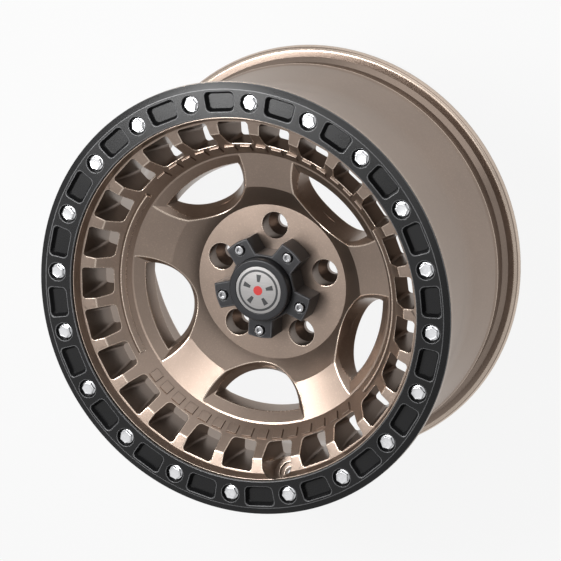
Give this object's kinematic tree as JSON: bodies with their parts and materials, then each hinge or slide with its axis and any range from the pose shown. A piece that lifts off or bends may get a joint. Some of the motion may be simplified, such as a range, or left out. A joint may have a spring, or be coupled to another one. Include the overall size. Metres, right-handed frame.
{
  "type": "alloy wheel",
  "caption": "Deep-dish cast road wheel with wide spokes, a window band, a bolted pocketed clamp ring and a star-shaped hub cap.",
  "frame": {"origin": "on the axle line, in the plane of the rear lip", "axes": "+Z along the axle towards the outer face; +Y towards the top of the wheel in the picture, through a lug hole"},
  "size_m": [0.4711, 0.4712, 0.2414],
  "materials": {
    "bronze_paint": "satin metallic bronze paint",
    "black_coat": "satin black powder coat",
    "bright_zinc": "bright zinc plate",
    "cap_black": "satin black",
    "badge_silver": "fine brushed silver"
  },
  "bodies": {
    "root": {"wheel_casting": "bronze_paint", "clamp_ring": "black_coat", "ring_bolts": "bright_zinc", "cap_body": "cap_black", "cap_centre": "cap_black", "cap_badge": "badge_silver", "cap_screws": "bright_zinc"}
  },
  "joints": []
}
